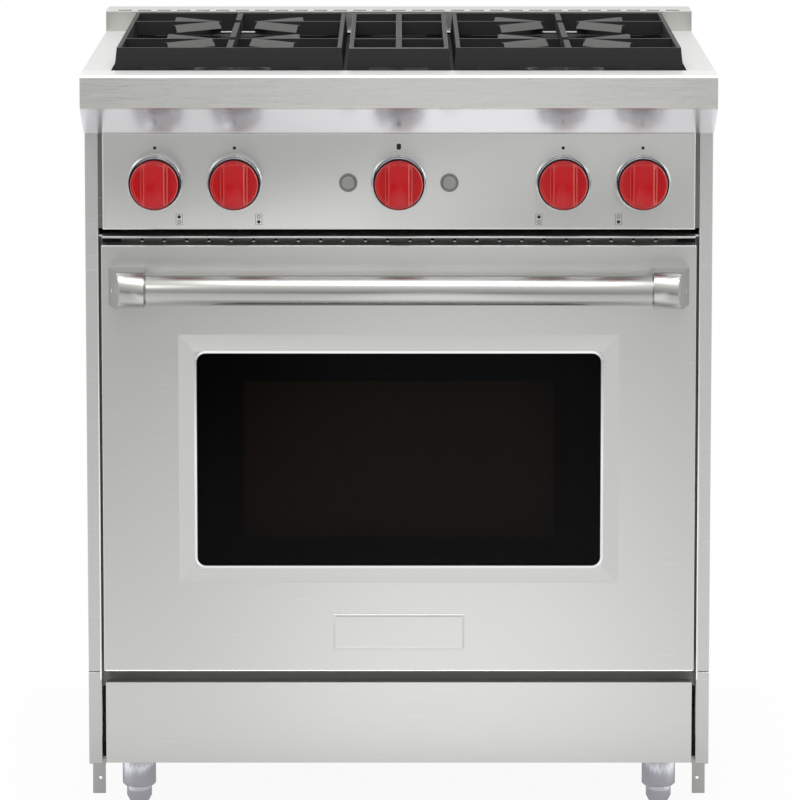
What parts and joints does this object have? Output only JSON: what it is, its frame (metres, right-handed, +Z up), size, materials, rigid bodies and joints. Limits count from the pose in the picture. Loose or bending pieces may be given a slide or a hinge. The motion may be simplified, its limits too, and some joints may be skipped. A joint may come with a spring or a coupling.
{
  "type": "freestanding gas range",
  "caption": "Freestanding stainless gas range with a sealed-burner cooktop, a drop-down oven door with a window, a tubular handle, push-and-turn knobs and adjustable feet.",
  "frame": {"origin": "middle of the footprint, on the floor", "axes": "+X to the right seen from the front, the front faces -Y, +Z up"},
  "size_m": [0.759, 0.721, 0.94],
  "materials": {
    "stainless_body": "brushed 304 stainless steel",
    "stainless_door": "brushed 304 stainless steel",
    "stainless_handle": "satin polished stainless steel",
    "leg_steel": "bright nickel-plated steel",
    "galvanised": "zinc-coated and dark-coated steel",
    "oven_enamel": "porcelain enamel on steel",
    "cast_grate": "porcelain-enamelled cast iron",
    "burner_cap_enamel": "enamelled cap",
    "burner_metal": "cast aluminium",
    "bright_wire": "nickel-chrome plated wire",
    "bright_ring": "polished chrome plate",
    "knob_red": "gloss moulded phenolic",
    "button_grey": "satin metal",
    "valve_brass": "forged brass",
    "gas_pipe": "aluminised steel tube",
    "burner_steel": "heat-stained stainless steel",
    "blanket": "glass-fibre blanket",
    "window_glass": "tinted tempered glass",
    "lamp_glass": "frosted borosilicate",
    "electrode_ceramic": "glazed alumina",
    "gasket_rubber": "woven glass-fibre and silicone seal"
  },
  "bodies": {
    "range_body": {"left_side_panel": "stainless_body", "right_side_panel": "stainless_body", "back_panel": "galvanised", "base_frame": "galvanised", "leg_sleeves": "leg_steel", "cooktop_frame": "stainless_body", "bullnose": "stainless_body", "island_trim": "stainless_body", "control_panel": "stainless_body", "panel_bezels": "bright_ring", "vent_trim": "stainless_body", "kick_panel": "stainless_body", "kick_brackets": "stainless_body", "oven_front_frame": "galvanised", "oven_liner": "oven_enamel", "insulation": "blanket", "rack_guides": "bright_wire", "fan_baffle": "oven_enamel", "fan_motor": "galvanised", "oven_floor": "oven_enamel", "bake_burner": "burner_steel", "broil_burner": "burner_steel", "oven_lights": "lamp_glass", "gas_manifold": "gas_pipe", "burner_valves": "valve_brass", "burner_bases": "burner_metal", "burner_heads": "burner_metal", "burner_caps": "burner_cap_enamel", "igniters": "electrode_ceramic", "door_gasket": "gasket_rubber", "junction_box": "galvanised"},
    "oven_door": {"door_skin": "stainless_door", "door_glass": "window_glass", "inner_glass": "window_glass", "door_liner": "oven_enamel", "handle_bar": "stainless_handle", "handle_posts": "stainless_handle", "badge_plate": "stainless_door", "hinge_arms": "galvanised"},
    "plunger_outer_left": {"plunger_outer_left": "valve_brass"},
    "knob_outer_left": {"knob_outer_left": "knob_red"},
    "plunger_inner_left": {"plunger_inner_left": "valve_brass"},
    "knob_inner_left": {"knob_inner_left": "knob_red"},
    "plunger_inner_right": {"plunger_inner_right": "valve_brass"},
    "knob_inner_right": {"knob_inner_right": "knob_red"},
    "plunger_outer_right": {"plunger_outer_right": "valve_brass"},
    "knob_outer_right": {"knob_outer_right": "knob_red"},
    "oven_knob": {"oven_knob": "knob_red"},
    "light_button": {"light_button": "button_grey"},
    "fan_button": {"fan_button": "button_grey"},
    "left_grate": {"left_grate": "cast_grate"},
    "middle_grate": {"middle_grate": "cast_grate"},
    "right_grate": {"right_grate": "cast_grate"},
    "foot_front_left": {"foot_front_left": "leg_steel"},
    "foot_front_right": {"foot_front_right": "leg_steel"},
    "foot_rear_left": {"foot_rear_left": "leg_steel"},
    "foot_rear_right": {"foot_rear_right": "leg_steel"},
    "convection_fan": {"convection_fan": "burner_steel"},
    "upper_rack": {"upper_rack": "bright_wire"},
    "lower_rack": {"lower_rack": "bright_wire"}
  },
  "joints": [
    {"name": "door_hinge", "type": "hinge", "parent": "range_body", "child": "oven_door", "pos_m": [0, -0.2565, 0.196], "axis": [1, 0, 0], "range_deg": [0, 90], "stiffness_Nm_per_rad": 15, "springref_deg": -20.05},
    {"name": "push_outer_left", "type": "slide", "parent": "range_body", "child": "plunger_outer_left", "axis": [0, 1, 0], "range_m": [0, 0.004], "stiffness_N_per_m": 900},
    {"name": "turn_outer_left", "type": "hinge", "parent": "plunger_outer_left", "child": "knob_outer_left", "pos_m": [-0.294, -0.2785, 0.777], "axis": [0, -1, 0], "range_deg": [0, 270]},
    {"name": "push_inner_left", "type": "slide", "parent": "range_body", "child": "plunger_inner_left", "axis": [0, 1, 0], "range_m": [0, 0.004], "stiffness_N_per_m": 900},
    {"name": "turn_inner_left", "type": "hinge", "parent": "plunger_inner_left", "child": "knob_inner_left", "pos_m": [-0.198, -0.2785, 0.777], "axis": [0, -1, 0], "range_deg": [0, 270]},
    {"name": "push_inner_right", "type": "slide", "parent": "range_body", "child": "plunger_inner_right", "axis": [0, 1, 0], "range_m": [0, 0.004], "stiffness_N_per_m": 900},
    {"name": "turn_inner_right", "type": "hinge", "parent": "plunger_inner_right", "child": "knob_inner_right", "pos_m": [0.198, -0.2785, 0.777], "axis": [0, -1, 0], "range_deg": [0, 270]},
    {"name": "push_outer_right", "type": "slide", "parent": "range_body", "child": "plunger_outer_right", "axis": [0, 1, 0], "range_m": [0, 0.004], "stiffness_N_per_m": 900},
    {"name": "turn_outer_right", "type": "hinge", "parent": "plunger_outer_right", "child": "knob_outer_right", "pos_m": [0.294, -0.2785, 0.777], "axis": [0, -1, 0], "range_deg": [0, 270]},
    {"name": "turn_oven_knob", "type": "hinge", "parent": "range_body", "child": "oven_knob", "pos_m": [0, -0.2785, 0.777], "axis": [0, 1, 0], "range_deg": [0, 300]},
    {"name": "push_light_button", "type": "slide", "parent": "range_body", "child": "light_button", "axis": [0, 1, 0], "range_m": [0, 0.0025], "stiffness_N_per_m": 400},
    {"name": "push_fan_button", "type": "slide", "parent": "range_body", "child": "fan_button", "axis": [0, 1, 0], "range_m": [0, 0.0025], "stiffness_N_per_m": 400},
    {"name": "lift_left_grate", "type": "slide", "parent": "range_body", "child": "left_grate", "axis": [0, 0, 1], "range_m": [0, 0.12]},
    {"name": "lift_middle_grate", "type": "slide", "parent": "range_body", "child": "middle_grate", "axis": [0, 0, 1], "range_m": [0, 0.12]},
    {"name": "lift_right_grate", "type": "slide", "parent": "range_body", "child": "right_grate", "axis": [0, 0, 1], "range_m": [0, 0.12]},
    {"name": "adjust_foot_front_left", "type": "slide", "parent": "range_body", "child": "foot_front_left", "axis": [0, 0, 1], "range_m": [-0.035, 0]},
    {"name": "adjust_foot_front_right", "type": "slide", "parent": "range_body", "child": "foot_front_right", "axis": [0, 0, 1], "range_m": [-0.035, 0]},
    {"name": "adjust_foot_rear_left", "type": "slide", "parent": "range_body", "child": "foot_rear_left", "axis": [0, 0, 1], "range_m": [-0.035, 0]},
    {"name": "adjust_foot_rear_right", "type": "slide", "parent": "range_body", "child": "foot_rear_right", "axis": [0, 0, 1], "range_m": [-0.035, 0]},
    {"name": "fan_spin", "type": "hinge", "parent": "range_body", "child": "convection_fan", "pos_m": [0, 0.257, 0.4355], "axis": [0, -1, 0], "continuous": true},
    {"name": "slide_upper_rack", "type": "slide", "parent": "range_body", "child": "upper_rack", "axis": [0, -1, 0], "range_m": [0, 0.012]},
    {"name": "slide_lower_rack", "type": "slide", "parent": "range_body", "child": "lower_rack", "axis": [0, -1, 0], "range_m": [0, 0.012]}
  ]
}
